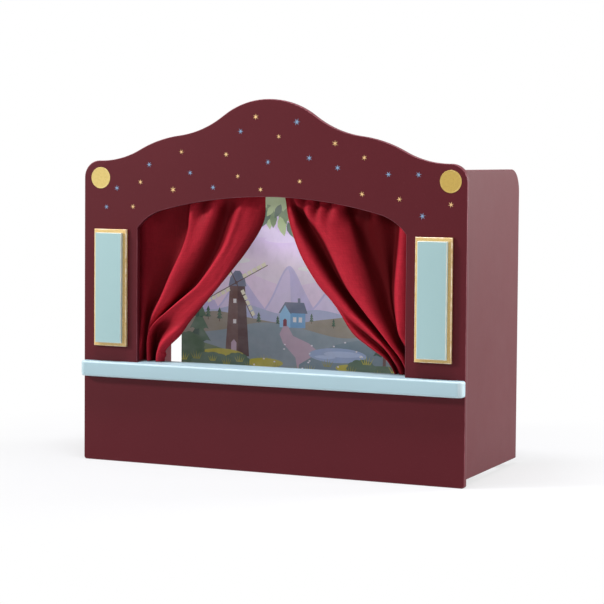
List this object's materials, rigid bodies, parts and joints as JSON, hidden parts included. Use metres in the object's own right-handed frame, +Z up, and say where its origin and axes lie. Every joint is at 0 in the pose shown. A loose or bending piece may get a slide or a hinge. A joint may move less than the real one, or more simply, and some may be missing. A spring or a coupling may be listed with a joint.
{
  "type": "puppet theatre",
  "caption": "Table-top puppet theatre: arched front board with a crown, stage ledge, side boards, tied-back curtains on a rod and a backdrop that lifts out at the rear.",
  "frame": {"origin": "on the floor, under the middle of the box that holds the whole theatre", "axes": "+X across the front, to the right as the audience sees it; +Y from the audience to the rear; +Z up"},
  "size_m": [0.58, 0.254, 0.5165],
  "materials": {
    "burgundy_paint": "satin dark burgundy paint on plywood",
    "pale_blue_paint": "satin pale grey-blue paint on wood",
    "gold_paint": "warm gold paint on thin plywood",
    "sky_blue_paint": "pale blue-green paint with gold edges",
    "beech": "plain turned beech",
    "printed_board": "thin board with a matt printed scene on its front",
    "curtain_cloth": "crimson satin with a fine horizontal slub",
    "ribbon": "crimson satin ribbon"
  },
  "bodies": {
    "theatre": {"front_board": "burgundy_paint", "stage_ledge": "pale_blue_paint", "ledge_cleat": "burgundy_paint", "left_plaque_frame": "gold_paint", "right_plaque_frame": "gold_paint", "left_plaque_panel": "sky_blue_paint", "right_plaque_panel": "sky_blue_paint", "left_side_board": "burgundy_paint", "right_side_board": "burgundy_paint", "left_corner_batten": "burgundy_paint", "right_corner_batten": "burgundy_paint", "lower_rear_rail": "burgundy_paint", "upper_rear_rail": "burgundy_paint", "rail_dowels": "beech", "curtain_rod": "beech", "left_rod_bracket": "burgundy_paint", "right_rod_bracket": "burgundy_paint", "left_tieback": "ribbon", "right_tieback": "ribbon", "left_tieback_peg": "beech", "right_tieback_peg": "beech"},
    "backdrop": {"backdrop_board": "printed_board"},
    "left_drape": {"left_curtain": "curtain_cloth"},
    "right_drape": {"right_curtain": "curtain_cloth"}
  },
  "joints": [
    {"name": "backdrop_lift", "type": "slide", "parent": "theatre", "child": "backdrop", "axis": [0, 0, 1], "range_m": [0, 0.38]},
    {"name": "left_curtain_draw", "type": "slide", "parent": "theatre", "child": "left_drape", "axis": [-1, 0, 0], "range_m": [0, 0.08], "deforming": ["left_curtain"]},
    {"name": "right_curtain_draw", "type": "slide", "parent": "theatre", "child": "right_drape", "axis": [1, 0, 0], "range_m": [0, 0.08], "deforming": ["right_curtain"]}
  ]
}
